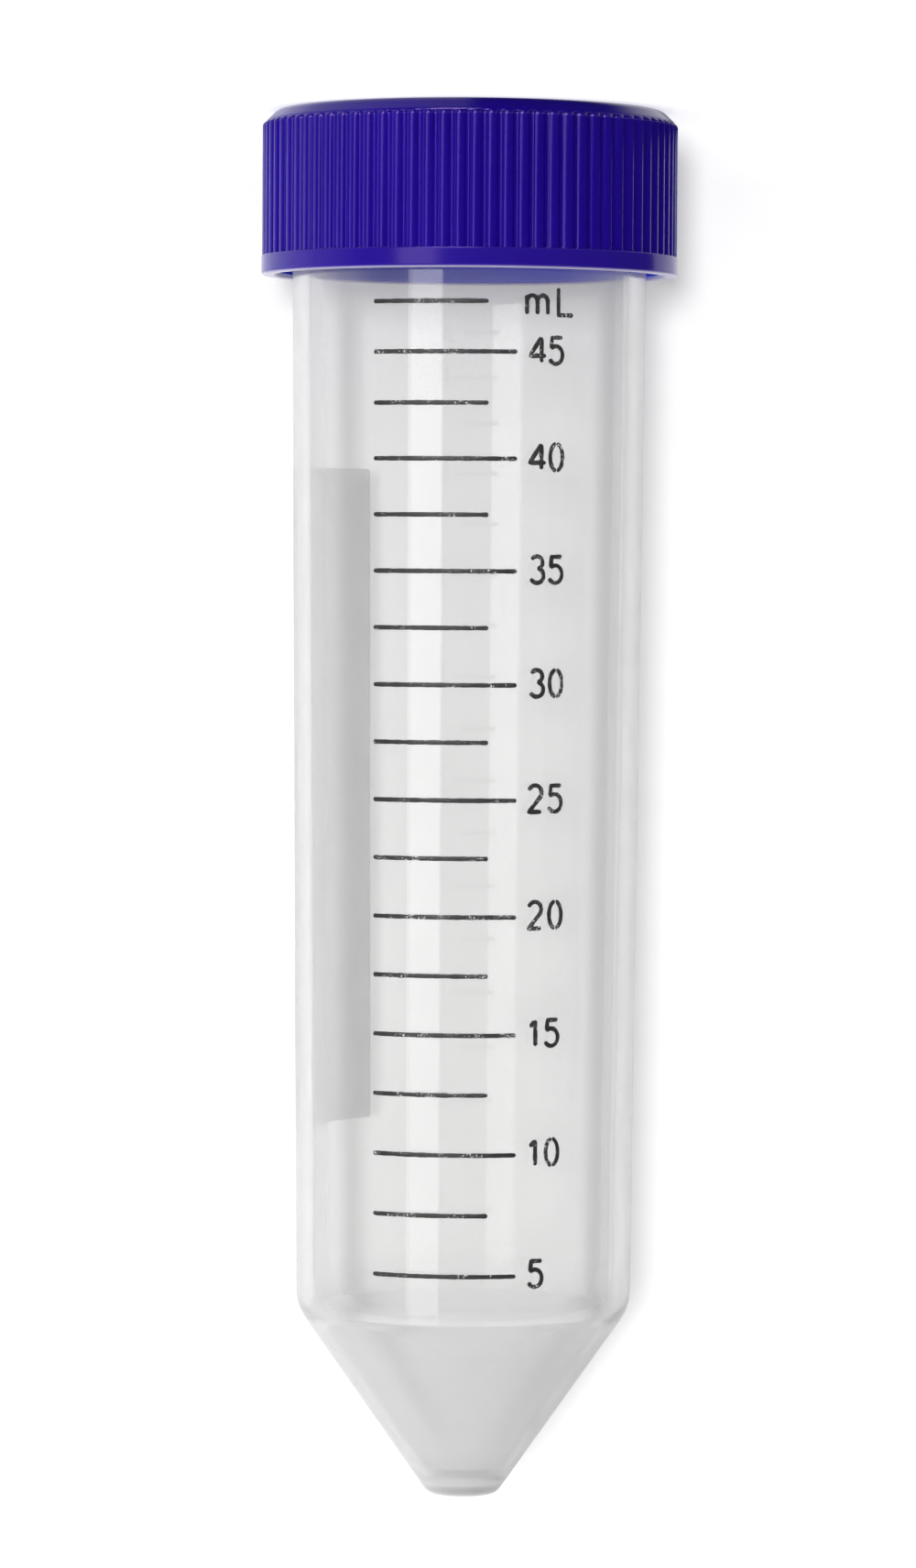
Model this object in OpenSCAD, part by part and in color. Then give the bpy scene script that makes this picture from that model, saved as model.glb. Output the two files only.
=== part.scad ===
// 50 ml conical centrifuge tube with a ribbed plug-seal screw cap.
// The closed tube stands on the flat top of its cap with the conical end up: z = 0 is the face
// of the cap that it stands on, and the z axis is the axis of the tube. The fine thread of the
// neck and of the cap is left out: its room is thread_room.

/* [Whole tube] */
// Length of the closed tube, from the top of the cap to the tip
overall_len = 115; // [80:0.5:145]

/* [Tube body] */
// Outside diameter of the neck, which is straight as far as the cap reaches
neck_d = 29.3; // [22:0.1:40]
// Outside diameter at the sharp corner between the drafted body and the cone
shoulder_d = 27.8; // [20:0.05:38]
// Wall thickness at the mouth
mouth_wall = 1.1; // [0.6:0.05:2]
// Wall thickness at the shoulder
shoulder_wall = 1.3; // [0.6:0.05:2]
// Radius that rounds the shoulder outside
shoulder_round = 3.6; // [0.5:0.1:6]
// Lead-in chamfer inside the mouth
mouth_chamfer = 0.3; // [0.1:0.05:0.5]

/* [Conical end] */
// Angle between the wall of the cone and the axis
cone_angle = 35; // [28:0.5:45]
// Outside diameter of the sharp edge of the tip
tip_d = 5.7; // [4.5:0.1:9]
// Wall thickness of the cone, square to its surface
cone_wall = 1; // [0.6:0.05:2]
// Thickness of the floor at the tip
tip_floor = 1.7; // [0.8:0.1:3]
// Radius that rounds the edge of the tip outside
tip_round = 1; // [0.3:0.1:1.5]
// Radius that rounds the corner of the floor inside
floor_round = 1.2; // [0.3:0.1:1.5]

/* [Cap] */
// Height of the cap
cap_h = 13.65; // [10:0.05:20]
// Thickness of the top of the cap
top_wall = 1.5; // [1:0.1:2.5]
// Thickness of the skirt between the ribs
skirt_wall = 1; // [0.8:0.1:2]
// Height of the bevel around the top
bevel_h = 1; // [0.5:0.05:2]
// How far the bevel reaches in from the skirt
bevel_reach = 1.05; // [0.5:0.05:2]
// Radius that rounds the inner corner between top and skirt
corner_round = 0.6; // [0.2:0.1:1]
// Height of the smooth band around the open end
band_h = 1.6; // [0.8:0.05:3]
// Radius that rounds the outer edge of the open end
rim_round = 0.3; // [0.1:0.05:0.5]
// Chamfer on the inner edge of the open end
rim_chamfer = 0.3; // [0.1:0.05:0.6]
// How far the band stands out past the ribs
band_proud = 0.05; // [0.05:0.05:0.5]
// Diameter of the gate dimple in the middle of the top
gate_d = 4; // [2:0.5:8]
// Depth of the gate dimple
gate_depth = 0.3; // [0.1:0.05:0.6]

/* [Grip ribs] */
// Number of grip ribs around the skirt
rib_count = 82; // [40:1:90]
// Height of a rib above the skirt
rib_h = 0.25; // [0.15:0.05:0.4]
// Radius of the round crest and the ball end of a rib, larger than its height
rib_crest_r = 0.3; // [0.2:0.05:0.5]
// Distance from the bevel to the round end of a rib
rib_start = 0.1; // [0:0.05:0.5]

/* [Plug seal] */
// Length of the plug that seals inside the mouth
plug_len = 3.4; // [2:0.1:5]
// Wall thickness of the plug
plug_wall = 0.9; // [0.6:0.1:1.5]
// Radial clearance between plug and mouth
plug_clearance = 0.1; // [0.05:0.05:0.3]
// Lead-in on the free end of the plug
plug_lead = 0.5; // [0.2:0.1:0.8]

/* [Fit of cap and tube] */
// Radial room for the thread between the neck and the bore of the cap
thread_room = 1.3; // [0.8:0.1:2]

/* [Hidden] */
$fa = 3;
$fs = 0.1;
cap_colour = [0.13, 0.06, 0.55];
tube_colour = [0.86, 0.87, 0.87, 0.5];

// The tube: its mouth sits on the inside of the cap's top
neck_r = neck_d / 2;
shoulder_r = shoulder_d / 2;
tip_r = tip_d / 2;
mouth_z = top_wall;
neck_end_z = cap_h;
shoulder_z = overall_len - (shoulder_r - tip_r) / tan(cone_angle);
mouth_r = neck_r - mouth_wall;
chamfer_z = mouth_z + mouth_chamfer;

// The inside of the body narrows evenly from the mouth to the shoulder
bore_draft = (mouth_r - shoulder_r + shoulder_wall) / (shoulder_z - mouth_z);
function bore_r_at(z) = mouth_r - bore_draft * (z - mouth_z);

// The inside of the cone runs parallel to its outside
cone_slope = tan(cone_angle);
cone_shift = cone_wall / cos(cone_angle);
function cone_bore_r_at(z) = shoulder_r - cone_shift - cone_slope * (z - shoulder_z);
floor_z = overall_len - tip_floor;
floor_r = cone_bore_r_at(floor_z);
inner_shoulder_z = shoulder_z
    + (shoulder_wall - cone_shift) / (cone_slope - bore_draft);
inner_shoulder_r = bore_r_at(inner_shoulder_z);
inner_shoulder_round = shoulder_round - shoulder_wall;

// The cap fits over the neck, and its plug into the mouth
cap_bore_r = neck_r + thread_room;
skirt_r = cap_bore_r + skirt_wall;
cap_r = skirt_r + rib_h + band_proud;
top_flat_r = skirt_r - bevel_reach;
band_z = cap_h - band_h;
plug_end_z = top_wall + plug_len;
// The plug narrows with the bore of the tube that it seals
function plug_r_at(z) = bore_r_at(z) - plug_clearance;
plug_bore_r = plug_r_at(mouth_z) - plug_wall;
rib_low_z = bevel_h + rib_start;
rib_angle = 360 / rib_count;

function unit(v) = v / norm(v);

// The points of an outline with rounded corners. A corner is [x, y], or [x, y, radius] where an
// arc of that radius rounds it
function rounded(corners) = [
    for (i = [0 : len(corners) - 1])
        each corner_points(
            corners[(i + len(corners) - 1) % len(corners)],
            corners[i],
            corners[(i + 1) % len(corners)]
        )
];

function corner_points(before, corner, after) =
    len(corner) == 2
        ? [corner]
        : arc_points([before.x, before.y], [corner.x, corner.y], [after.x, after.y], corner.z);

// The arc of radius r that touches both edges of a corner, in steps of $fa or $fs
function arc_points(before, corner, after, r) =
    let (
        to_before = unit(before - corner),
        to_after = unit(after - corner),
        half_angle = acos(to_before * to_after) / 2,
        reach = r / tan(half_angle),
        centre = corner + unit(to_before + to_after) * r / sin(half_angle),
        arm_start = corner + to_before * reach - centre,
        arm_end = corner + to_after * reach - centre,
        turn = 180 - 2 * half_angle,
        steps = ceil(min(turn / $fa, r * turn * PI / 180 / $fs))
    )
    [
        for (k = [0 : steps])
            centre + (arm_start * sin(turn * (1 - k / steps)) + arm_end * sin(turn * k / steps))
                / sin(turn)
    ];

// Right half of the wall of the tube: up the outside from the mouth, over the tip, and back
// down the inside
module tube_wall() {
    polygon(rounded([
        [mouth_r + mouth_chamfer, mouth_z],
        [neck_r, mouth_z],
        [neck_r, neck_end_z],
        [shoulder_r, shoulder_z, shoulder_round],
        [tip_r, overall_len, tip_round],
        [0, overall_len],
        [0, floor_z],
        [floor_r, floor_z, floor_round],
        [inner_shoulder_r, inner_shoulder_z, inner_shoulder_round],
        [bore_r_at(chamfer_z), chamfer_z]
    ]));
}

module tube() {
    color(tube_colour) rotate_extrude() tube_wall();
}

// Right half of the cap without its plug and ribs: the gate dimple, the bevelled top, the plain
// skirt with the band around the open end, and the inside
module cap_shell() {
    polygon(rounded([
        [0, gate_depth],
        [gate_d / 2, gate_depth],
        [gate_d / 2, 0],
        [top_flat_r, 0],
        [skirt_r, bevel_h],
        [skirt_r, band_z],
        [cap_r, band_z],
        [cap_r, cap_h, rim_round],
        [cap_bore_r + rim_chamfer, cap_h],
        [cap_bore_r, cap_h - rim_chamfer],
        [cap_bore_r, top_wall, corner_round],
        [0, top_wall]
    ]));
}

// Right half of the plug, a ring that stands inside the mouth of the tube. It is rooted in the
// middle of the cap's top
module plug() {
    root_z = top_wall / 2;
    lead_z = plug_end_z - plug_lead;
    polygon([
        [plug_bore_r, root_z],
        [plug_r_at(root_z), root_z],
        [plug_r_at(lead_z), lead_z],
        [plug_r_at(lead_z) - plug_lead / 2, plug_end_z],
        [plug_bore_r, plug_end_z]
    ]);
}

// One grip rib: a round bar sunk past its middle in the skirt, with a ball end under the bevel
module rib() {
    rib_len = band_z - rib_low_z + band_h / 2;
    translate([skirt_r + rib_h - rib_crest_r, 0, rib_low_z])
        rotate_extrude()
            intersection() {
                square([rib_crest_r, rib_len]);
                union() {
                    translate([0, rib_crest_r]) circle(r = rib_crest_r);
                    translate([0, rib_crest_r]) square([rib_crest_r, rib_len - rib_crest_r]);
                }
            }
}

// The first rib is in the middle of the front, which is -Y
module cap() {
    color(cap_colour) {
        rotate_extrude() {
            cap_shell();
            plug();
        }
        for (i = [0 : rib_count - 1]) {
            rotate([0, 0, i * rib_angle - 90]) rib();
        }
    }
}

cap();
tube();
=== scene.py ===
# %% [markdown]
# # A 50 ml conical tube with a ribbed screw cap
#
# The object is a centrifuge tube of clear plastic. It stands on the flat top of its cap, with the
# conical end up, as people put a closed tube down when no rack is at hand. The solids for size,
# fit and motion come packed from the CAD side. Blender adds what the eye needs: clear plastic
# that bends light, a glossy cap with fine grip ribs and its thread, the printed scale, and the
# white patch for writing on.

import bpy
import numpy as np
from mathutils import Matrix, Vector


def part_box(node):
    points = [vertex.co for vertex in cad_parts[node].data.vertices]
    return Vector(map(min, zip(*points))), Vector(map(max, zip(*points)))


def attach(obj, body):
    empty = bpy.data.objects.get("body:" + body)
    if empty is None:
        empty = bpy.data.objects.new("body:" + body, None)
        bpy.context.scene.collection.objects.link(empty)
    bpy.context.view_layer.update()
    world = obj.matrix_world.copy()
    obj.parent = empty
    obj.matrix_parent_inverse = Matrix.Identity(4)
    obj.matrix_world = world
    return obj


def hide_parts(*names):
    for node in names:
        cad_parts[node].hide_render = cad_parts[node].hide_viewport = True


MM = 0.001

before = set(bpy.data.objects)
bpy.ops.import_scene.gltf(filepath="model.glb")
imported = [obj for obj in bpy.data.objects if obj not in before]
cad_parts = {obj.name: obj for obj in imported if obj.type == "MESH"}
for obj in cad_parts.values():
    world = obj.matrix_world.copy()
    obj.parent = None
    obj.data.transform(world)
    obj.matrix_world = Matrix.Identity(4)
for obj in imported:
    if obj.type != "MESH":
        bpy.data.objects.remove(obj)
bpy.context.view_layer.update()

# %% [markdown]
# ## Sizes
#
# Every size is in millimetres until a mesh is made. The frame gives the outer sizes. The walls,
# fillets and grip ribs repeat the values of the part's source, because the mesh of the frame
# doesn't name them. The corners inside the tube are crisper than in the solid, as the polished
# core of the mould leaves them. Heights are counted from the face the cap stands on, so `z` grows
# towards the tip of the tube.

# %% Sizes from the frame and from the part's source
cap_high = np.array(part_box("cap")[1]) / MM
tube_low, tube_high = (np.array(corner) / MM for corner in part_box("tube"))

overall_len = tube_high[2]
neck_r = tube_high[0]
cap_r = cap_high[0]
cap_h = cap_high[2]
mouth_z = tube_low[2]

shoulder_r, tip_r = 27.8 / 2, 5.7 / 2
mouth_wall, shoulder_wall, cone_wall, tip_floor = 1.1, 1.3, 1.0, 1.7
mouth_chamfer, shoulder_round, tip_round = 0.3, 3.6, 1.0
inner_shoulder_round, inner_floor_round = 0.35, 0.7
cone_angle = np.radians(35)
cone_slope = np.tan(cone_angle)
cone_shift = cone_wall * np.hypot(1, cone_slope)

shoulder_z = overall_len - (shoulder_r - tip_r) / cone_slope
mouth_r = neck_r - mouth_wall
bore_draft = (mouth_r - shoulder_r + shoulder_wall) / (shoulder_z - mouth_z)
floor_z = overall_len - tip_floor
floor_r = shoulder_r - cone_shift - cone_slope * (floor_z - shoulder_z)
inner_shoulder_z = shoulder_z + (shoulder_wall - cone_shift) / (cone_slope - bore_draft)

top_wall, skirt_wall = mouth_z, 1.0
bevel_h, bevel_reach = 1.0, 1.05
band_h, band_proud, rim_round, rim_chamfer = 1.6, 0.05, 0.3, 0.3
rib_count, rib_h, rib_crest_r, rib_low_z = 82, 0.25, 0.3, 1.1
gate_r, gate_depth, corner_round = 2.0, 0.3, 0.6
plug_len, plug_wall, plug_clearance, plug_lead = 3.4, 0.9, 0.1, 0.5

skirt_r = cap_r - band_proud - rib_h
cap_bore_r = skirt_r - skirt_wall
band_z = cap_h - band_h
plug_end_z = top_wall + plug_len


def bore_r_at(z):
    """Radius of the tapered bore of the tube at height z."""
    return mouth_r - bore_draft * (z - mouth_z)


def body_r_at(z):
    """Outer radius of the tube between the cap and the shoulder: it narrows evenly."""
    return neck_r + (shoulder_r - neck_r) * (z - cap_h) / (shoulder_z - cap_h)


print(f"shoulder at {shoulder_z:.1f} mm, neck {2 * neck_r:.1f} mm across, cap {2 * cap_r:.1f} mm")

# %% [markdown]
# ## Surfaces of revolution
#
# Both moulded pieces are round, so each is one outline carried round the axis. Sharp corners look
# false, because every real moulding has a small round that catches the light. So an outline is
# given by its corners, each with a fillet radius, and a helper turns the corners into points: an
# arc at each fillet, and one holding point just outside each end of the arc, so that the flat
# stretch beside it keeps shading as flat.

# %% From corners to an outline
HOLD = 0.04
ARC_STEP = np.radians(12)
SMALL_ARC_STEP = np.radians(25)
SMALL_RADIUS = 0.16


def unit(vector):
    """The vector scaled to length one."""
    return vector / np.linalg.norm(vector)


def fillet(before, corner, after, radius):
    """Points of the arc that touches both edges of a corner.

    The arc's centre lies on the bisector. Its points are the two radii to the touching points,
    blended as a turn from the first to the second.
    """
    to_before, to_after = unit(before - corner), unit(after - corner)
    half = np.arccos(np.clip(to_before @ to_after, -1, 1)) / 2
    reach = radius / np.tan(half)
    centre = corner + unit(to_before + to_after) * radius / np.sin(half)
    first, last = corner + to_before * reach, corner + to_after * reach
    turn = np.pi - 2 * half
    step = SMALL_ARC_STEP if radius < SMALL_RADIUS else ARC_STEP
    share = np.linspace(0, 1, max(3, int(np.ceil(turn / step)) + 1))[:, None]
    arms = (first - centre) * np.sin(turn * (1 - share)) + (last - centre) * np.sin(turn * share)
    arc = centre + arms / np.sin(turn)
    return np.vstack([first + to_before * HOLD, arc, last + to_after * HOLD])


def outline_of(corners):
    """An outline as (radius, height) points, from corners (radius, height, fillet radius)."""
    flat = np.array([corner[:2] for corner in corners], float)
    points = [flat[:1]]
    for i in range(1, len(flat) - 1):
        points.append(fillet(flat[i - 1], flat[i], flat[i + 1], corners[i][2]))
    points.append(flat[-1:])
    return np.vstack(points)


def refine(outline, longest):
    """Adds points so that no stretch is longer than longest(middle of the stretch)."""
    start, end = outline[:-1], outline[1:]
    length = np.linalg.norm(end - start, axis=1)
    parts = np.maximum(1, np.ceil(length / longest((start + end) / 2))).astype(int)
    index = np.repeat(np.arange(len(parts)), parts)
    step = np.arange(len(index)) - np.repeat(np.cumsum(parts) - parts, parts)
    share = (step / parts[index])[:, None]
    return np.vstack([start[index] + share * (end - start)[index], outline[-1:]])


# %% [markdown]
# ## Rings and skins
#
# A ring is a closed row of points round the axis. A skin joins neighbouring rings by faces. Where
# a ring of many points meets a ring of few, each face takes several points of the fine ring, so
# fine detail outside doesn't cost faces inside. A single point closes a pole.

# %% Rings, skins and meshes
pieces = []


def around(angle, radius, height):
    """Cylinder coordinates to x, y, z, all in mm.

    The angle is counted from the middle of the front (-Y), growing to the right of somebody who
    reads the scale with the cap up, so x = -r sin(angle) and y = -r cos(angle).
    """
    angle, radius, height = np.broadcast_arrays(angle, radius, height)
    return np.stack([-radius * np.sin(angle), -radius * np.cos(angle), height], axis=-1)


def band_faces(first_a, count_a, first_b, count_b):
    """Faces between two rings whose numbers of points divide each other, or a ring and a pole."""
    few, many = sorted((count_a, count_b))
    count = many if few == 1 else few

    def side(first, number):
        if number == 1:
            return np.full((count, 1), first)
        step = number // count
        return first + (np.arange(count)[:, None] * step + np.arange(step + 1)) % number

    return np.hstack([side(first_a, count_a), side(first_b, count_b)[:, ::-1]])


def skin(rings):
    """Points and faces of the closed surface over a list of rings, poles first and last."""
    firsts = np.cumsum([0] + [len(ring) for ring in rings])
    faces = [
        band_faces(firsts[i], len(rings[i]), firsts[i + 1], len(rings[i + 1]))
        for i in range(len(rings) - 1)
    ]
    return np.vstack(rings), faces


def enclosed(points, faces):
    """Signed volume inside closed faces: the sum of the fans of tetrahedra to the origin."""
    total = 0.0
    for block in faces:
        corner = points[block]
        for k in range(1, block.shape[1] - 1):
            normal = np.cross(corner[:, k], corner[:, k + 1])
            total += np.einsum("ij,ij->", corner[:, 0], normal) / 6
    return total


def build_piece(name, points, faces, material, body, slot):
    """A smooth mesh object from points in mm and arrays of faces, facing outwards."""
    if enclosed(points, faces) < 0:
        faces = [block[:, ::-1] for block in faces]
    sizes = np.concatenate([np.full(len(block), block.shape[1]) for block in faces])
    mesh = bpy.data.meshes.new(name)
    mesh.vertices.add(len(points))
    mesh.vertices.foreach_set("co", (points * MM).ravel())
    mesh.loops.add(int(sizes.sum()))
    mesh.loops.foreach_set("vertex_index", np.concatenate([block.ravel() for block in faces]))
    mesh.polygons.add(len(sizes))
    mesh.polygons.foreach_set("loop_start", np.cumsum(sizes) - sizes)
    mesh.update(calc_edges=True)
    mesh.validate()
    mesh.shade_smooth()
    mesh.materials.append(material)
    piece = bpy.data.objects.new(name, mesh)
    bpy.context.scene.collection.objects.link(piece)
    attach(piece, body)
    pieces.append(piece)
    print(f"{name}: {len(points)} points, {int((sizes - 2).sum())} triangles")
    return piece


# %% [markdown]
# ## Node helpers
#
# Materials are node trees. A few helpers keep the cells that follow short: one adds a node with
# its settings and links, and the others stand for the nodes that come back again and again, such
# as a sum, a mix, a pattern of noise or a value that climbs from one level to another.

# %% Node helpers
def add_node(tree, kind, settings=(), **inputs):
    """Adds a node, sets its attributes from settings and its sockets from inputs.

    A key such as i2 is the socket with that number. Any other key is a socket's name, with
    underscores for its spaces.
    """
    node = tree.nodes.new(kind)
    for key, value in dict(settings).items():
        setattr(node, key, value)
    for key, value in inputs.items():
        socket = node.inputs[int(key[1:]) if key[1:].isdigit() else key.replace("_", " ")]
        if isinstance(value, bpy.types.NodeSocket):
            tree.links.new(value, socket)
        else:
            socket.default_value = value
    return node


def math(tree, operation, a, b=0.0):
    """The result of one Math node."""
    return add_node(tree, "ShaderNodeMath", {"operation": operation}, i0=a, i1=b).outputs[0]


def product(tree, first, *others):
    """The factors multiplied together."""
    for other in others:
        first = math(tree, "MULTIPLY", first, other)
    return first


def total(tree, first, *others):
    """The values added up."""
    for other in others:
        first = math(tree, "ADD", first, other)
    return first


def largest(tree, first, *others):
    """The largest of the values."""
    for other in others:
        first = math(tree, "MAXIMUM", first, other)
    return first


def new_material(name):
    """An empty node material with its output node."""
    material = bpy.data.materials.new(name)
    material.use_nodes = True
    tree = material.node_tree
    tree.nodes.clear()
    return material, tree, tree.nodes.new("ShaderNodeOutputMaterial")


def noise(tree, scale, detail, roughness=0.5, stretch=(1, 1, 1)):
    """A noise pattern on Object coordinates, in cells per metre, squeezed or stretched by axis."""
    place = tree.nodes.new("ShaderNodeTexCoord").outputs["Object"]
    mapping = add_node(tree, "ShaderNodeMapping", i0=place, Scale=stretch)
    return add_node(
        tree, "ShaderNodeTexNoise", {"noise_dimensions": "3D"}, Vector=mapping.outputs[0],
        Scale=scale, Detail=detail, Roughness=roughness,
    ).outputs["Fac"]


def object_axes(tree):
    """The x, y and z of the shaded point, in metres in the object's own frame."""
    place = tree.nodes.new("ShaderNodeTexCoord").outputs["Object"]
    return add_node(tree, "ShaderNodeSeparateXYZ", i0=place).outputs


def ramp(tree, factor, low, high, to_low=0.0, to_high=1.0):
    """Maps a factor from low..high to to_low..to_high, clamped at both ends."""
    return add_node(
        tree, "ShaderNodeMapRange", {"clamp": True}, Value=factor,
        i1=low, i2=high, i3=to_low, i4=to_high,
    ).outputs[0]


def grey(tree, shade):
    """A colour with the same red, green and blue."""
    return add_node(
        tree, "ShaderNodeCombineColor", Red=shade, Green=shade, Blue=shade,
    ).outputs[0]


def mix_colours(tree, factor, first, second):
    """The first colour at factor 0, the second at factor 1."""
    return add_node(
        tree, "ShaderNodeMix", {"data_type": "RGBA"}, Factor=factor, A=first, B=second,
    ).outputs["Result"]


def mix_values(tree, factor, first, second):
    """The first value at factor 0, the second at factor 1."""
    return add_node(
        tree, "ShaderNodeMix", {"data_type": "FLOAT"}, i0=factor, i2=first, i3=second,
    ).outputs[0]


def mix_shaders(tree, factor, first, second):
    """The first shader node at factor 0, the second at factor 1."""
    return add_node(
        tree, "ShaderNodeMixShader", Fac=factor, i1=first.outputs[0], i2=second.outputs[0],
    )


# %% [markdown]
# ## Clear plastic of the tube
#
# Polypropylene is clear but never quite like glass: it has a faint haze, and it drinks a little
# light. One Principled shader with full transmission bends the light. A share of a plain white
# diffuse shader is mixed in as the haze. It drifts in soft clouds, because a moulding cools
# unevenly. It is denser where the wall is seen at a slant, because the way through the plastic is
# longer there, and denser again in the cone and at the tip, where the melt cooled slowly.
#
# A refracting wall would stop the light of the lamps. So rays that look for a lamp, and rays that
# gather light for a dull surface, pass straight through a transparent shader instead. At a slant
# it lets less and less through, so the two edges of the tube still cast their shadow, and the
# hazier cone lets through a little less all over.

# %% Clear plastic
CONE_HAZE_FROM, CONE_HAZE_FULL = 96.0, 103.0
TIP_HAZE_FROM, TIP_HAZE_FULL = 112.0, 114.0
CONE_DIM_FROM, CONE_DIM_FULL = 102.0, 106.0


def clear_plastic():
    """Refracting polypropylene with uneven haze that lets the light of lamps through."""
    material, tree, output = new_material("clear_polypropylene")
    ripple = noise(tree, 120, detail=1.0, stretch=(1, 1, 0.25))
    grain = noise(tree, 2500, detail=2.0)
    height = total(tree, ripple, product(tree, grain, 0.02))
    bump = add_node(tree, "ShaderNodeBump", Strength=0.35, Distance=0.03 * MM, Height=height)
    plastic = add_node(
        tree, "ShaderNodeBsdfPrincipled", Base_Color=(0.924, 0.924, 0.921, 1),
        Roughness=0.03, IOR=1.49, Transmission_Weight=1.0, Normal=bump.outputs[0],
    )
    haze = add_node(
        tree, "ShaderNodeBsdfDiffuse", Color=(0.87, 0.87, 0.87, 1), Normal=bump.outputs[0],
    )
    facing = add_node(tree, "ShaderNodeLayerWeight", Blend=0.5).outputs["Facing"]
    z = object_axes(tree)[2]
    clouds = ramp(tree, noise(tree, 90, detail=3.0), 0.3, 0.7, 0.025, 0.045)
    slant = ramp(tree, facing, 0.15, 0.85, 0.0, 0.40)
    in_cone = ramp(tree, z, CONE_HAZE_FROM * MM, CONE_HAZE_FULL * MM, 0.0, 0.20)
    in_tip = ramp(tree, z, TIP_HAZE_FROM * MM, TIP_HAZE_FULL * MM, 0.0, 0.12)
    hazy = mix_shaders(tree, total(tree, clouds, slant, in_cone, in_tip), plastic, haze)
    let_through = ramp(tree, facing, 0.52, 0.80, 0.97, 0.0)
    cone_dim = ramp(tree, z, CONE_DIM_FROM * MM, CONE_DIM_FULL * MM, 1.0, 0.96)
    tint = grey(tree, product(tree, let_through, cone_dim))
    through = add_node(tree, "ShaderNodeBsdfTransparent", Color=tint)
    path = tree.nodes.new("ShaderNodeLightPath").outputs
    straight = largest(tree, path["Is Shadow Ray"], path["Is Diffuse Ray"])
    surface = mix_shaders(tree, straight, hazy, through)
    tree.links.new(surface.outputs[0], output.inputs["Surface"])
    return material


# %% [markdown]
# ## The tube
#
# The tube is one closed skin: it starts at the middle of the tip, runs down the outside, over the
# rim of the mouth and up the inside to the floor. Where the straight neck meets the tapered body,
# a wide fillet blends the two. One thing is more than an outline: the neck carries a screw thread,
# a ridge that climbs round it. It is worked out as a height over the neck: for each point, how far
# it lies from the nearest turn of the helix says how high the plastic stands there.

# %% The screw thread as a height over a cylinder
PITCH = 3.2
TURNS = 2.1
THREAD_LOW = 4.2
NECK_THREAD_H, CAP_THREAD_H = 0.9, 0.85
THREAD_BASE, THREAD_CREST = 2.0, 0.8
THREAD_FADE = 0.12


def thread_height(angle, z, low, height):
    """How far a helical ridge stands out at each angle and height.

    The turn number is the height over the start in pitches plus the angle in turns. Rounding it
    gives the nearest turn of the ridge, and the rest times the pitch is the distance from the
    ridge's middle. The ridge is full inside its crest, falls smoothly to nothing at its base, and
    fades in and out over about an eighth of a turn at its two ends.
    """
    share = angle / (2 * np.pi)
    turn = (z - low) / PITCH + share
    distance = np.abs(turn - np.round(turn)) * PITCH
    climbed = np.round(turn) - share
    flank = np.clip((THREAD_BASE / 2 - distance) / (THREAD_BASE / 2 - THREAD_CREST / 2), 0, 1)
    ends = np.clip(np.minimum(climbed, TURNS - climbed) / THREAD_FADE, 0, 1)
    smooth = flank * flank * (3 - 2 * flank)
    return height * smooth * np.sqrt(ends)


# %% The tube's outline, rings and skin
TUBE_COLUMNS = 240
ROW_IN_THREAD = 0.14
ROW_ELSEWHERE = 6.0
NECK_BLEND = 30.0
NEAR = 0.001

tube_outline = outline_of([
    (0, overall_len, 0),
    (tip_r, overall_len, tip_round),
    (shoulder_r, shoulder_z, shoulder_round),
    (neck_r, cap_h, NECK_BLEND),
    (neck_r, mouth_z, 0.15),
    (mouth_r + mouth_chamfer, mouth_z, 0.06),
    (bore_r_at(mouth_z + mouth_chamfer), mouth_z + mouth_chamfer, 0.1),
    (bore_r_at(inner_shoulder_z), inner_shoulder_z, inner_shoulder_round),
    (floor_r, floor_z, inner_floor_round),
    (0, floor_z, 0),
])


def in_neck(middle):
    """The longest stretch that an outline may have: short where the thread stands."""
    outside = (middle[:, 0] > neck_r - NEAR) & (middle[:, 1] < cap_h)
    return np.where(outside, ROW_IN_THREAD, ROW_ELSEWHERE)


def tube_rings():
    """Rings of the tube from the tip, down the outside, over the mouth and up the inside."""
    angle = np.linspace(0, 2 * np.pi, TUBE_COLUMNS, endpoint=False)
    rings = []
    for r, z in refine(tube_outline, in_neck):
        threaded = r > neck_r - NEAR and mouth_z + mouth_chamfer < z < cap_h
        bump = thread_height(angle, z, THREAD_LOW, NECK_THREAD_H) if threaded else 0
        rings.append(around(angle, r + bump, z))
    rings[0], rings[-1] = rings[0][:1], rings[-1][:1]
    return rings


tube_material = clear_plastic()
tube_piece = build_piece("tube_shell", *skin(tube_rings()), tube_material, "tube", "tube")
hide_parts("tube")

# %% [markdown]
# ## Gloss of the cap
#
# The cap is moulded polyethylene with a deep violet-blue pigment. A mould gives it a gloss that is
# not a mirror: the roughness drifts in soft patches, a fine grain breaks the highlights up, and
# the pigment itself swims a little lighter and darker where the melt flowed. Three places carry
# painted light in their colour. The smooth band is painted a shade lighter than the ribs, a
# painted glow that stands for light coming through the thin band. The thin edge of the open end
# is painted pale, a painted highlight. The inside is painted a bright blue, a painted glow that
# stands for light going back and forth between its walls.

# %% Cap plastic
FLOW_DARK, FLOW_LIGHT = (0.0145, 0.0016, 0.325, 1), (0.0195, 0.0027, 0.380, 1)
# Painted glow: the band is painted lighter, standing for light coming through the thin band.
PAINTED_BAND_GLOW = (0.027, 0.009, 0.38, 1)
# Painted glow: the inside is painted a bright blue, standing for light bouncing between its walls.
PAINTED_INNER_GLOW = (0.06, 0.075, 0.85, 1)
# Painted highlight: the thin edge of the open end is painted pale.
PAINTED_RIM_HIGHLIGHT = (0.50, 0.46, 0.80, 1)


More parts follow.
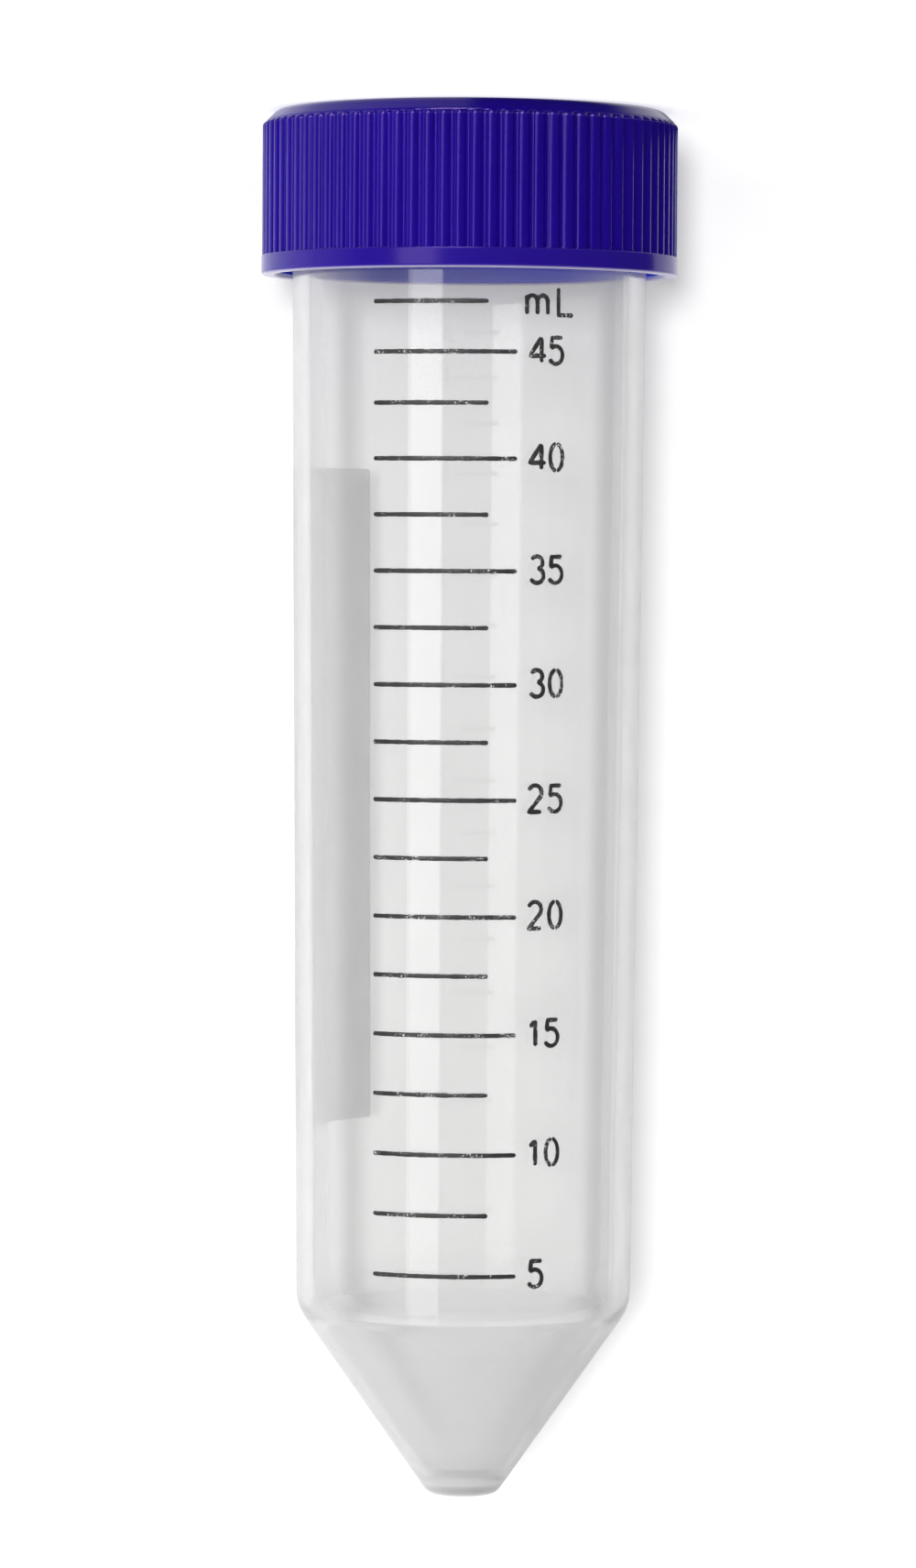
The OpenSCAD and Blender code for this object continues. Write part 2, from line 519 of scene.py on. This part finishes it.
def cap_plastic():
    """Glossy violet-blue polyethylene with flow marks, a fine grain, and painted glow and
    highlight.
    """
    material, tree, output = new_material("violet_blue_polyethylene")
    flow = noise(tree, 160, detail=3.0, stretch=(1, 1, 0.4))
    grain = noise(tree, 5200, detail=3.0, roughness=0.6)
    x, y, z = object_axes(tree)
    from_axis = math(tree, "SQRT", total(tree, product(tree, x, x), product(tree, y, y)))
    # This mask and the next pick the inside of the cap for its painted glow.
    painted_glow_bore_mask = ramp(tree, from_axis, (cap_bore_r + 0.05) * MM, (cap_bore_r + 0.15) * MM, 1.0, 0.0)
    painted_glow_depth_mask = ramp(tree, z, (top_wall - 0.2) * MM, (top_wall - 0.1) * MM)
    # Mask of the band's painted glow.
    painted_band_glow_mask = ramp(tree, z, (band_z - 0.1) * MM, (band_z + 0.1) * MM)
    # Mask of the rim's painted highlight.
    painted_rim_highlight_mask = ramp(tree, z, (cap_h - 0.16) * MM, (cap_h - 0.06) * MM)
    colour = mix_colours(tree, ramp(tree, flow, 0.3, 0.7), FLOW_DARK, FLOW_LIGHT)
    # Painted glow on the band.
    colour = mix_colours(tree, painted_band_glow_mask, colour, PAINTED_BAND_GLOW)
    # Painted glow inside the cap.
    colour = mix_colours(tree, product(tree, painted_glow_bore_mask, painted_glow_depth_mask), colour, PAINTED_INNER_GLOW)
    # Painted highlight on the rim's edge.
    colour = mix_colours(tree, painted_rim_highlight_mask, colour, PAINTED_RIM_HIGHLIGHT)
    rough = ramp(tree, flow, 0.25, 0.75, 0.13, 0.19)
    bump = add_node(tree, "ShaderNodeBump", Strength=0.12, Distance=0.03 * MM, Height=grain)
    gloss = add_node(
        tree, "ShaderNodeBsdfPrincipled", Base_Color=colour, Roughness=rough, IOR=1.51,
        Specular_IOR_Level=0.28, Specular_Tint=(1.0, 0.68, 1.0, 1), Normal=bump.outputs[0],
    )
    tree.links.new(gloss.outputs[0], output.inputs["Surface"])
    return material


# %% [markdown]
# ## The cap
#
# The cap is also one closed skin round an outline, but its skirt carries 82 grip ribs with round
# crests and ball ends. A ring of evenly spaced points would cut the ribs badly, so each rib gets
# the same few columns, set close together where its flank is steep. In the solid the ribs are
# round bars on a plain skirt. Here each crest runs into a hollow valley, as on a real cap, and
# the first rib stands a little to the right of the front. The inside has the thread that the
# neck's thread runs in, half a pitch further on.

# %% Grip ribs as a height over the skirt
FLANK = np.radians(50)
CREST_ROUND = 0.6
RIB_TURN = np.radians(1.45)
VALLEY_OPENS = 1.6
COARSE_STEP = 8

rib_pitch = 2 * np.pi / rib_count
half_pitch = rib_pitch / 2 * skirt_r
valley_round = half_pitch / np.sin(FLANK) - CREST_ROUND
rib_depth = (CREST_ROUND + valley_round) * (1 - np.cos(FLANK))
steep = np.sin(FLANK * np.array([0, 0.3, 0.6, 0.85, 1]))
valley_columns = half_pitch - valley_round * steep[3::-1]
half_columns = np.append(CREST_ROUND * steep, valley_columns) / skirt_r
one_rib = np.append(half_columns, rib_pitch - half_columns[-2:0:-1])
fine_angles = (np.arange(rib_count)[:, None] * rib_pitch + one_rib).ravel() + RIB_TURN
coarse_angles = fine_angles[::COARSE_STEP]
ball_z = rib_low_z + rib_crest_r


def rib_height(angle, z):
    """How far the grip stands out of the skirt, less than nothing in a valley.

    A round crest runs into a hollow valley where both have the flank's slope: near the crest the
    fall is that of a circle of the crest's radius, near the valley it is the depth less the rise
    of the valley's circle. Under the middle of the ball end the crest sinks like a ball and the
    valleys fade into the plain skirt.
    """
    from_crest = np.mod(angle - RIB_TURN + rib_pitch / 2, rib_pitch) - rib_pitch / 2
    across = np.minimum(np.abs(from_crest) * skirt_r, half_pitch)
    to_valley = half_pitch - across
    crest_fall = CREST_ROUND - np.sqrt(np.maximum(0, CREST_ROUND**2 - across**2))
    valley_fall = rib_depth - valley_round + np.sqrt(np.maximum(0, valley_round**2 - to_valley**2))
    fall = np.where(across < CREST_ROUND * np.sin(FLANK), crest_fall, valley_fall)
    below = np.clip((ball_z - z) / rib_crest_r, 0, 1)
    ball = np.sqrt(1 - below**2)
    return ball * rib_h - fall * np.minimum(1, VALLEY_OPENS * ball)


# %% [markdown]
# The outline of the cap comes in stretches. The top and the inside are plain, so their rings have
# few points. The bevel, the ribs and the band have fine rings. On the flat of the top and on the
# rim a coarse ring meets a fine one, so that the change between them doesn't show.

# %% The cap's outline
ROW_IN_CAP_THREAD = 0.2
FINE_INSET, COARSE_INSET = 0.6, 1.0
FINE_RIM, COARSE_RIM = 0.25, 0.1
GATE_ROUND = 0.12
BALL_STEPS = np.radians([0, 20, 38, 52, 65, 78, 90])

plug_top_r = bore_r_at(top_wall) - plug_clearance
plug_end_r = bore_r_at(plug_end_z) - plug_clearance
plug_bore_r = mouth_r - plug_clearance - plug_wall
top_flat_r = skirt_r - bevel_reach
rim_inner_r = cap_bore_r + rim_chamfer

top_outline = outline_of([
    (0, gate_depth, 0),
    (gate_r, gate_depth, GATE_ROUND),
    (gate_r, 0, GATE_ROUND),
    (top_flat_r - COARSE_INSET, 0, 0),
])
ball_rows = rib_low_z + rib_crest_r * (1 - np.cos(BALL_STEPS))
skirt_rows = np.column_stack([np.full(len(ball_rows), skirt_r), ball_rows])
edge_outline = outline_of([
    (top_flat_r - FINE_INSET, 0, 0),
    (top_flat_r, 0, 1.2),
    (skirt_r, bevel_h, 0.4),
    (skirt_r, rib_low_z, 0),
])
band_outline = outline_of([
    (skirt_r, ball_z, 0),
    (skirt_r, band_z, 0.02),
    (cap_r, band_z, 0.08),
    (cap_r, cap_h, rim_round),
    (rim_inner_r + FINE_RIM, cap_h, 0),
])
outer_outline = np.vstack([edge_outline[:-1], skirt_rows[:-1], band_outline])
inner_outline = outline_of([
    (rim_inner_r + COARSE_RIM, cap_h, 0),
    (rim_inner_r, cap_h, 0.03),
    (cap_bore_r, cap_h - rim_chamfer, 0.1),
    (cap_bore_r, top_wall, corner_round),
    (plug_top_r, top_wall, 0.1),
    (plug_end_r, plug_end_z - plug_lead, 0.3),
    (plug_end_r - plug_lead / 2, plug_end_z, 0.12),
    (plug_bore_r, plug_end_z, 0.2),
    (plug_bore_r, top_wall, 0.3),
    (0, top_wall, 0),
])


# %% The cap's rings and skin
def in_cap_thread(middle):
    """The longest stretch that the inner outline may have: short along the threaded bore."""
    return np.where(middle[:, 0] > cap_bore_r - NEAR, ROW_IN_CAP_THREAD, ROW_ELSEWHERE)


def cap_rings():
    """Rings of the cap: its top, its ribbed outside, its rim, and its threaded inside."""
    rings = [around(coarse_angles, r, z) for r, z in top_outline]
    for r, z in outer_outline:
        ring_r = r
        if rib_low_z + NEAR < z < band_z + NEAR and r < cap_r - NEAR:
            grip_r = skirt_r + rib_height(fine_angles, z)
            ring_r = grip_r if abs(r - skirt_r) < NEAR else np.maximum(r, grip_r)
        rings.append(around(fine_angles, ring_r, z))
    low = THREAD_LOW + PITCH / 2
    for r, z in refine(inner_outline, in_cap_thread):
        threaded = r > cap_bore_r - NEAR and z < cap_h - rim_chamfer
        bump = thread_height(coarse_angles, z, low, CAP_THREAD_H) if threaded else 0
        rings.append(around(coarse_angles, r - bump, z))
    rings[0], rings[-1] = rings[0][:1], rings[-1][:1]
    return rings


cap_piece = build_piece("screw_cap", *skin(cap_rings()), cap_plastic(), "cap", "cap")
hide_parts("cap")

# %% [markdown]
# ## Heights of the scale
#
# The scale isn't drawn by eye. Each line lies where the tube, held tip down, would be filled by
# that volume, so the heights follow from the inside of the tube: the volume from the floor up to
# each point of the inner outline is a sum of cone slices, and the lines are read off by
# interpolation. One millilitre is a cubic centimetre.

# %% Heights of the printed volumes
SLICE = 0.5
MM3_PER_ML = 1000
CROWDED_FROM = 42.7
CROWDING = 0.15

inside = tube_outline[tube_outline[:, 1] <= floor_z]
inside = inside[int(np.argmin(inside[:, 1])):]
inside = refine(inside[inside[:, 0] < mouth_r], lambda middle: SLICE)[::-1]
lower, upper = inside[:-1], inside[1:]
slice_volume = np.pi / 3 * np.abs(upper[:, 1] - lower[:, 1]) * (
    lower[:, 0] ** 2 + lower[:, 0] * upper[:, 0] + upper[:, 0] ** 2
)
filled = np.append(0, np.cumsum(slice_volume)) / MM3_PER_ML


def height_of(volume):
    """Height of the line for a volume in ml.

    It is the height of the liquid's surface. Over CROWDED_FROM ml the stencil crowds its last
    lines: each stands nearer to the tip, by CROWDING mm for each ml past that.
    """
    crowding = CROWDING * max(0.0, volume - CROWDED_FROM)
    return np.interp(volume, filled, inside[:, 1]) + crowding


print("full to the mouth:", round(float(filled[-1]), 1), "ml; 50 ml at", height_of(50.0))

# %% [markdown]
# ## Ink
#
# Screen printing leaves a thin, slightly domed film with ragged edges and pinholes. Each mark is
# a stroke: a flat oval section carried along a path on the tube's surface, closed and rounded at
# both ends. Its width wavers a little, by smoothed random numbers with a fixed seed, and the
# material cuts the pinholes.

# %% Strokes of ink on the tube
INK_WIDTH = 0.37
INK_THICK = 0.024
INK_LIFT = 0.018
STROKE_SIDES = 8
STROKE_STEP = 0.12
WAVER = 0.1
ink_random = np.random.default_rng(5)


def stroke(path):
    """Points and faces of one stroke along a path of (right, up) points in mm.

    The section is an oval, w cos v across and t sin v outwards. Along the path it keeps its size
    and closes at both ends as a half circle does.
    """
    path = refine(np.asarray(path, float), lambda middle: STROKE_STEP)
    length = np.append(0, np.cumsum(np.linalg.norm(np.diff(path, axis=0), axis=1)))
    along = np.gradient(path, axis=0)
    along /= np.linalg.norm(along, axis=1)[:, None]
    across = np.column_stack([-along[:, 1], along[:, 0]])
    half = INK_WIDTH / 2
    from_end = np.minimum(length, length[-1] - length)
    close = np.sqrt(np.clip(1 - (1 - np.clip(from_end / half, 0, 1)) ** 2, 0, 1))
    waver = 1 + WAVER * np.convolve(ink_random.normal(size=len(path)), np.ones(3) / 3, "same")
    turn = np.linspace(0, 2 * np.pi, STROKE_SIDES, endpoint=False)
    width = (half * close * waver)[:, None] * np.cos(turn)
    flat = path[:, None, :] + width[..., None] * across[:, None, :]
    lift = INK_LIFT + INK_THICK / 2 * (close[:, None] * np.sin(turn))
    rings = list(np.concatenate([flat, lift[..., None]], axis=-1))
    rings[0], rings[-1] = rings[0][:1], rings[-1][:1]
    return skin(rings)


def wrap(flat, angle, z):
    """Lays flat marks (right, up, lift) on the tube, with their origin at an angle and height."""
    height = z - flat[:, 1]
    radius = body_r_at(height)
    return around(angle + flat[:, 0] / radius, radius + flat[:, 2], height)


def print_marks(name, marks):
    """One piece out of many marks, each ((points, faces), angle, z)."""
    points, faces, count = [], [], 0
    for (flat, mark_faces), angle, z in marks:
        points.append(wrap(flat, angle, z))
        faces += [block + count for block in mark_faces]
        count += len(flat)
    return build_piece(name, np.vstack(points), faces, ink_material, "tube", "scale_ink")


# %% Ink material
def ink():
    """Black printing ink with pinholes and a chewed edge, cut by alpha.

    Fine specks are cut away where they fall below a limit, and the limit is higher in worn
    patches.
    """
    material, tree, output = new_material("black_ink")
    specks = noise(tree, 7500, detail=2.0, roughness=0.6)
    wear = noise(tree, 700, detail=1.0)
    limit = ramp(tree, wear, 0.35, 0.65, 0.29, 0.44)
    alpha = ramp(tree, math(tree, "SUBTRACT", specks, limit), -0.02, 0.02)
    black = grey(tree, ramp(tree, wear, 0.3, 0.7, 0.022, 0.036))
    film = add_node(
        tree, "ShaderNodeBsdfPrincipled", Base_Color=black, Roughness=0.45, Alpha=alpha,
    )
    tree.links.new(film.outputs[0], output.inputs["Surface"])
    return material


ink_material = ink()

# %% [markdown]
# ## Lines
#
# A numbered line stands at every 5 ml and a shorter one halfway between. All start on the same
# vertical and run round the tube. The stencil is flat, so the lines keep their length while the
# tube tapers.

# %% Scale lines
LINE_START = np.radians(-32.0)
SHORT_LINE = 9.75
LONG_LINE = 12.1


def scale_line(volume):
    """The stroke of one volume's line, laid where that volume stands."""
    z = height_of(volume)
    length = LONG_LINE if volume % 5 == 0 else SHORT_LINE
    return stroke([(0, 0), (length, 0)]), LINE_START, z


print_marks("scale_lines", [scale_line(volume) for volume in np.arange(5, 50, 2.5)])

# %% [markdown]
# ## Numbers
#
# Plain grotesque figures are drawn as an engraver would, by single strokes: straight runs and
# arcs of ovals. A figure is one unit high between the middles of its strokes. The stencil keeps
# one distance from figure to figure, and only after the narrow 1 the next one moves up to it.

# %% Strokes of the figures
def arc(cx, cy, rx, ry, start, end):
    """An oval arc from one angle to another, in degrees, counter-clockwise if end is larger."""
    turn = np.radians(np.linspace(start, end, max(4, int(abs(end - start) / 12))))
    return np.column_stack([cx + rx * np.cos(turn), cy + ry * np.sin(turn)])


def run(*points):
    """Straight runs through the given points."""
    return np.array(points, float)


FIGURES = {
    "0": [arc(0.27, 0.5, 0.265, 0.5, 90, 270), arc(0.27, 0.5, 0.265, 0.5, -90, 90)],
    "1": [run((0.08, 0.72), (0.3, 0.97)), run((0.31, 1), (0.31, 0))],
    "2": [np.vstack([arc(0.28, 0.72, 0.26, 0.28, 165, -35), run((0.02, 0), (0.55, 0))])],
    "3": [
        arc(0.33, 0.77, 0.23, 0.23, 160, -90),
        arc(0.33, 0.27, 0.27, 0.27, 90, -160),
    ],
    "4": [run((0.5, 1), (0.03, 0.29), (0.7, 0.29)), run((0.5, 1), (0.5, 0.03))],
    "5": [
        run((0.54, 0.98), (0.08, 0.98), (0.03, 0.56)),
        arc(0.23, 0.33, 0.29, 0.33, 138, -155),
    ],
    "m": [
        run((0, 0.74), (0, 0)),
        np.vstack([arc(0.21, 0.48, 0.21, 0.24, 180, 0), run((0.42, 0))]),
        np.vstack([arc(0.63, 0.48, 0.21, 0.24, 180, 0), run((0.84, 0))]),
    ],
    "L": [run((0, 1.03), (0, 0), (0.66, 0))],
}
FIGURE_HEIGHT = 2.16
FIGURE_ADVANCE = 1.86
AFTER_ONE = -0.25
FIGURE_RAISE = 0.16
NUMBER_PLACE = 13.08
SINGLE_FIGURE_SHIFT = 0.17
UNIT_PLACE = 12.88
UNIT_ADVANCE = 2.8
UNIT_RAISE = 0.03


def lettering(text, z, place, advance=FIGURE_ADVANCE):
    """The marks of a short text: its middle stands at height z, its start past the lines' start."""
    marks = []
    for letter in text:
        corner = (place, -FIGURE_HEIGHT / 2)
        for path in FIGURES[letter]:
            marks.append((stroke(path * FIGURE_HEIGHT + corner), LINE_START, z))
        place += advance + (AFTER_ONE if letter == "1" else 0)
    return marks


numbers = []
for volume in range(5, 50, 5):
    place = NUMBER_PLACE + (SINGLE_FIGURE_SHIFT if volume < 10 else 0)
    numbers += lettering(str(volume), height_of(volume) - FIGURE_RAISE, place)
print_marks("scale_numbers", numbers)
unit_z = height_of(47.5) - UNIT_RAISE
print_marks("scale_unit", lettering("mL", unit_z, UNIT_PLACE, UNIT_ADVANCE))

# %% [markdown]
# ## Patch for writing on
#
# The far side carries a white printed patch, from just behind the side of the tube to well round
# the back. It is a thin film too, laid on the tube over a range of angles and heights, with its
# corners rounded off by the same closing of its section.

# %% Writing patch
PATCH_LEFT, PATCH_RIGHT = np.radians(-142.0), np.radians(-87.0)
PATCH_TOP, PATCH_BOTTOM = 29.5, 84.6
PATCH_CORNER = 0.2
PATCH_THICK = 0.02
PATCH_LIFT = 0.012
PATCH_SQUARENESS = 0.25
PATCH_COLUMNS, PATCH_SIDES = 60, 120


def patch_ink():
    """White ink that is slightly uneven and lets a little light through."""
    material, tree, output = new_material("white_ink")
    white = grey(tree, ramp(tree, noise(tree, 1400, detail=3.0), 0.3, 0.7, 0.88, 0.94))
    cover = ramp(tree, noise(tree, 350, detail=2.0), 0.3, 0.7, 0.28, 0.34)
    film = add_node(
        tree, "ShaderNodeBsdfPrincipled", Base_Color=white, Roughness=0.6, Alpha=cover,
    )
    tree.links.new(film.outputs[0], output.inputs["Surface"])
    return material


def patch_rings():
    """Rings round the patch's section, from its left end to its right end.

    Each ring is a flat oval with square shoulders, which the power of the cosine gives it. Up
    and down the tube it reaches from edge to edge, and outwards it is as thick as the film.
    Within a corner's radius of either end the height shrinks as a quarter circle does. The ends
    are closed by a point.
    """
    share = np.linspace(0, 1, PATCH_COLUMNS)
    turn = np.linspace(0, 2 * np.pi, PATCH_SIDES, endpoint=False)
    width = PATCH_RIGHT - PATCH_LEFT
    angle = PATCH_LEFT + width * share
    side = np.sign(np.cos(turn)) * np.abs(np.cos(turn)) ** PATCH_SQUARENESS
    middle, half = (PATCH_TOP + PATCH_BOTTOM) / 2, (PATCH_BOTTOM - PATCH_TOP) / 2
    from_end = np.minimum(share, 1 - share) * width * shoulder_r
    in_corner = 1 - np.clip(from_end / PATCH_CORNER, 0, 1)
    close = 1 - PATCH_CORNER / half * (1 - np.sqrt(1 - in_corner ** 2))
    height = middle + half * close[:, None] * side
    lift = PATCH_LIFT + PATCH_THICK / 2 * np.sin(turn)
    radius = body_r_at(height) + lift
    rings = list(around(angle[:, None], radius, height))
    ends = [rings[0].mean(axis=0, keepdims=True), rings[-1].mean(axis=0, keepdims=True)]
    return ends[:1] + rings + ends[1:]


build_piece("writing_patch", *skin(patch_rings()), patch_ink(), "tube", "writing_patch")

# %% [markdown]
# ## Floor and backdrop
#
# The tube stands on a white floor, with a white sheet close behind it. Both are plain diffuse
# surfaces that keep the object's soft shadow. What is seen of them is topped up by a little
# emission, so that white is white without more light on the object. The sheet gets a little more
# of it along its foot, where the floor takes light away. It is only there from the front: seen
# from behind it is transparent. The floor is kept out of the gloss and out of the view through
# the plastic, where its horizon would draw a line.

# %% Floor and backdrop
SHEET_GAP = 0.3
FLOOR_WHITE, FLOOR_TOP_UP = 0.81, 0.7
SHEET_WHITE, SHEET_TOP_UP = 0.5, 0.33
FOOT_TOP_UP, FOOT_HEIGHT = 0.40, 5.0
FLOOR_REACH, SHEET_LEFT, SHEET_REACH = 600, 56, 300


def white_stage(one_sided):
    """A white dull surface whose glow only direct sight, gloss and clear plastic see."""
    material, tree, output = new_material("white_sheet" if one_sided else "white_floor")
    white = SHEET_WHITE if one_sided else FLOOR_WHITE
    texture = ramp(tree, noise(tree, 300, detail=3.0), 0.2, 0.8, white - 0.01, white + 0.01)
    paper = add_node(tree, "ShaderNodeBsdfDiffuse", Color=grey(tree, texture))
    path = tree.nodes.new("ShaderNodeLightPath").outputs
    seen = largest(
        tree, path["Is Camera Ray"], path["Is Glossy Ray"], path["Is Transmission Ray"],
    )
    top_up = FLOOR_TOP_UP
    if one_sided:
        top_up = ramp(tree, object_axes(tree)[2], 0, FOOT_HEIGHT * MM, FOOT_TOP_UP, SHEET_TOP_UP)
    glow = add_node(tree, "ShaderNodeEmission", Strength=product(tree, seen, top_up))
    surface = add_node(tree, "ShaderNodeAddShader", i0=paper.outputs[0], i1=glow.outputs[0])
    if one_sided:
        back = tree.nodes.new("ShaderNodeNewGeometry").outputs["Backfacing"]
        surface = mix_shaders(tree, back, surface, tree.nodes.new("ShaderNodeBsdfTransparent"))
    tree.links.new(surface.outputs[0], output.inputs["Surface"])
    return material


def stage_card(name, corners, material):
    """A flat card from four corners in mm."""
    mesh = bpy.data.meshes.new(name)
    mesh.from_pydata([tuple(np.array(corner) * MM) for corner in corners], [], [(0, 1, 2, 3)])
    mesh.materials.append(material)
    card = bpy.data.objects.new(name, mesh)
    bpy.context.scene.collection.objects.link(card)
    return card


floor_corners = np.array([(-1, -1, 0), (1, -1, 0), (1, 1, 0), (-1, 1, 0)]) * FLOOR_REACH
floor = stage_card("floor", floor_corners, white_stage(one_sided=False))
floor.visible_glossy = False
floor.visible_transmission = False
floor.visible_shadow = False

sheet_y = cap_r + SHEET_GAP
sheet_corners = [
    (-SHEET_LEFT, sheet_y, 0),
    (SHEET_REACH, sheet_y, 0),
    (SHEET_REACH, sheet_y, SHEET_REACH),
    (-SHEET_LEFT, sheet_y, SHEET_REACH),
]
sheet = stage_card("backdrop", sheet_corners, white_stage(one_sided=True))

# %% [markdown]
# ## Light
#
# One tall soft lamp stands to the left of the camera. It gives the bright stripe along the tube,
# and a weaker one that is its mirror image in the far wall. It is dimmer towards the tip, so the
# stripe fades there. A second, soft lamp reaches only the floor and the sheet. It whitens them and
# gives them the shadow to the right of the object, and the object itself gets no light from it.

# %% Lamps
def shine_only_on(holder, name, objects):
    """Limits a lamp to some objects, by light linking."""
    lit = bpy.data.collections.new(name)
    for item in objects:
        lit.objects.link(item)
    holder.light_linking.receiver_collection = lit


def place_lamp(name, lamp, spot, towards, objects):
    """Puts a lamp at a spot in mm, shining in a direction, on some objects only."""
    holder = bpy.data.objects.new(name, lamp)
    turn = Vector(towards).to_track_quat("-Z", "Y").to_matrix().to_4x4()
    holder.matrix_world = Matrix.Translation(np.array(spot) * MM) @ turn
    holder.visible_camera = False
    shine_only_on(holder, "lit_by_" + name, objects)
    bpy.context.scene.collection.objects.link(holder)


def tall_lamp(azimuth, distance, width, low, high, radiance):
    """An upright area lamp at an angle to the reader's left of the front, facing the axis.

    Its glow falls to 0.6 of full between 0.3 and 0.6 of its height.
    """
    lamp = bpy.data.lights.new("tall_lamp", "AREA")
    lamp.shape = "RECTANGLE"
    lamp.size, lamp.size_y = width * MM, (high - low) * MM
    lamp.energy = radiance * np.pi * lamp.size * lamp.size_y
    lamp.use_nodes = True
    tree = lamp.node_tree
    tree.nodes.clear()
    place = tree.nodes.new("ShaderNodeNewGeometry").outputs["Parametric"]
    upwards = add_node(tree, "ShaderNodeSeparateXYZ", i0=place).outputs[1]
    glow = add_node(tree, "ShaderNodeEmission", Strength=ramp(tree, upwards, 0.3, 0.6, 1.0, 0.6))
    output = tree.nodes.new("ShaderNodeOutputLight")
    tree.links.new(glow.outputs[0], output.inputs["Surface"])
    spot = around(-np.radians(azimuth), distance, (low + high) / 2)
    place_lamp("tall_lamp", lamp, spot, (-spot[0], -spot[1], 0), [*pieces, floor])


def sheet_lamp(azimuth, elevation, spread, level):
    """A soft sun from the reader's left that reaches only floor and sheet."""
    lamp = bpy.data.lights.new("sheet_lamp", "SUN")
    lamp.angle = np.radians(spread)
    lamp.energy = level * np.pi
    reach, rise = np.cos(np.radians(elevation)), np.sin(np.radians(elevation))
    towards = -around(-np.radians(azimuth), reach, rise)
    place_lamp("sheet_lamp", lamp, (0, 0, 0), towards, [floor, sheet])


tall_lamp(azimuth=28.5, distance=600, width=235, low=-120, high=330, radiance=2.65)
sheet_lamp(azimuth=5.0, elevation=-3.0, spread=10.0, level=0.94)

# %% [markdown]
# ## Room
#
# The rest is a pale room, painted on the world by direction. Looked at directly or through the
# plastic it is white. For dull surfaces it is a plain fill, brighter from the left. Gloss sees a
# dim room with a bright window side on the left, pale light beyond the tip, a pale band on the
# cap's side, and in that band a strong lamp low down in front. It glints on the round ends of the
# ribs and on the edges of the bevel.

# %% World
WHITE_LEVEL = 1.0
FILL_RIGHT, FILL_LEFT = 0.18, 0.95
FILL_CAP_END, FILL_TIP_END = 0.8, 1.2
ROOM_DIM, WINDOW, FAR_SIDE, TIP_END = 0.03, 0.75, 0.03, 0.9
LOW_LAMP = 9.0


def gloss_room(tree, axes, degrees):
    """What gloss sees in each direction. Degrees count to the left from the front."""
    up = axes[2]
    window = ramp(tree, degrees, 62, 84, 0.0, WINDOW)
    far_side = ramp(tree, degrees, -40, -80, 0.0, FAR_SIDE)
    dim = total(tree, window, far_side, ROOM_DIM)
    low_start = ramp(tree, up, -0.15, -0.3)
    cap_end = product(tree, low_start, ramp(tree, up, -0.7, -0.55))
    tip_end = ramp(tree, up, 0.2, 0.6, 0.0, TIP_END)
    lamp_side = product(tree, ramp(tree, degrees, -8, 2), ramp(tree, degrees, 38, 28))
    lamp_band = product(tree, low_start, ramp(tree, up, -0.95, -0.85))
    low_lamp = product(tree, lamp_band, lamp_side, LOW_LAMP)
    return total(tree, largest(tree, dim, cap_end, tip_end), low_lamp)


def room():
    """World: white when looked at, a plain fill for dull surfaces, a dim room for gloss."""
    world = bpy.data.worlds.new("pale_room")
    world.use_nodes = True
    tree = world.node_tree
    tree.nodes.clear()
    direction = tree.nodes.new("ShaderNodeTexCoord").outputs["Generated"]
    axes = add_node(tree, "ShaderNodeSeparateXYZ", i0=direction).outputs
    azimuth = math(tree, "ARCTAN2", axes[0], product(tree, axes[1], -1.0))
    gloss = gloss_room(tree, axes, product(tree, azimuth, 180 / np.pi))
    fill = product(
        tree,
        ramp(tree, axes[0], -1, 1, FILL_RIGHT, FILL_LEFT),
        ramp(tree, axes[2], -1, 1, FILL_CAP_END, FILL_TIP_END),
    )
    path = tree.nodes.new("ShaderNodeLightPath").outputs
    seen = largest(tree, path["Is Camera Ray"], path["Is Transmission Ray"])
    level = mix_values(tree, path["Is Glossy Ray"], fill, gloss)
    level = mix_values(tree, seen, level, WHITE_LEVEL)
    sky = add_node(tree, "ShaderNodeBackground", Color=(1, 1, 1, 1), Strength=level)
    output = tree.nodes.new("ShaderNodeOutputWorld")
    tree.links.new(sky.outputs[0], output.inputs["Surface"])
    return world


bpy.context.scene.world = room()

# %% [markdown]
# ## Camera
#
# The camera stands level with the lower half of the tube and looks slightly up its axis. It is
# turned upside down, because a reader holds the tube with the cap up while the object stands on
# its cap.

# %% Camera
CAMERA_DISTANCE = 490
CAMERA_HEIGHT = 36.5
AIM_HEIGHT = 55.77
AIM_SIDE = 0.69
LENS, SENSOR, NEAREST = 135.3, 36, 10
LEAN = np.radians(0.353)


def camera():
    """A long lens aimed at the middle of the tube, rolled over so that the cap is on top.

    The roll is LEAN short of half a turn: the level direction is turned by that angle, and the
    upward direction is square to it and to the line of sight.
    """
    view = bpy.data.cameras.new("camera")
    view.lens = LENS
    view.sensor_width = SENSOR
    view.clip_start = NEAREST * MM
    holder = bpy.data.objects.new("camera", view)
    place = Vector((AIM_SIDE, -CAMERA_DISTANCE, CAMERA_HEIGHT)) * MM
    aim = Vector((AIM_SIDE, 0, AIM_HEIGHT)) * MM
    forward = (aim - place).normalized()
    tipward = (Vector((0, 0, 1)) - forward * forward.z).normalized()
    level_right = forward.cross(-tipward)
    right = (level_right - tipward * float(np.tan(LEAN))).normalized()
    up = right.cross(forward)
    turn = Matrix((right, up, -forward)).transposed()
    holder.matrix_world = Matrix.Translation(place) @ turn.to_4x4()
    bpy.context.scene.collection.objects.link(holder)
    return holder


bpy.context.scene.camera = camera()
bpy.context.scene.view_settings.view_transform = "Standard"

# %% The end
bpy.context.view_layer.update()
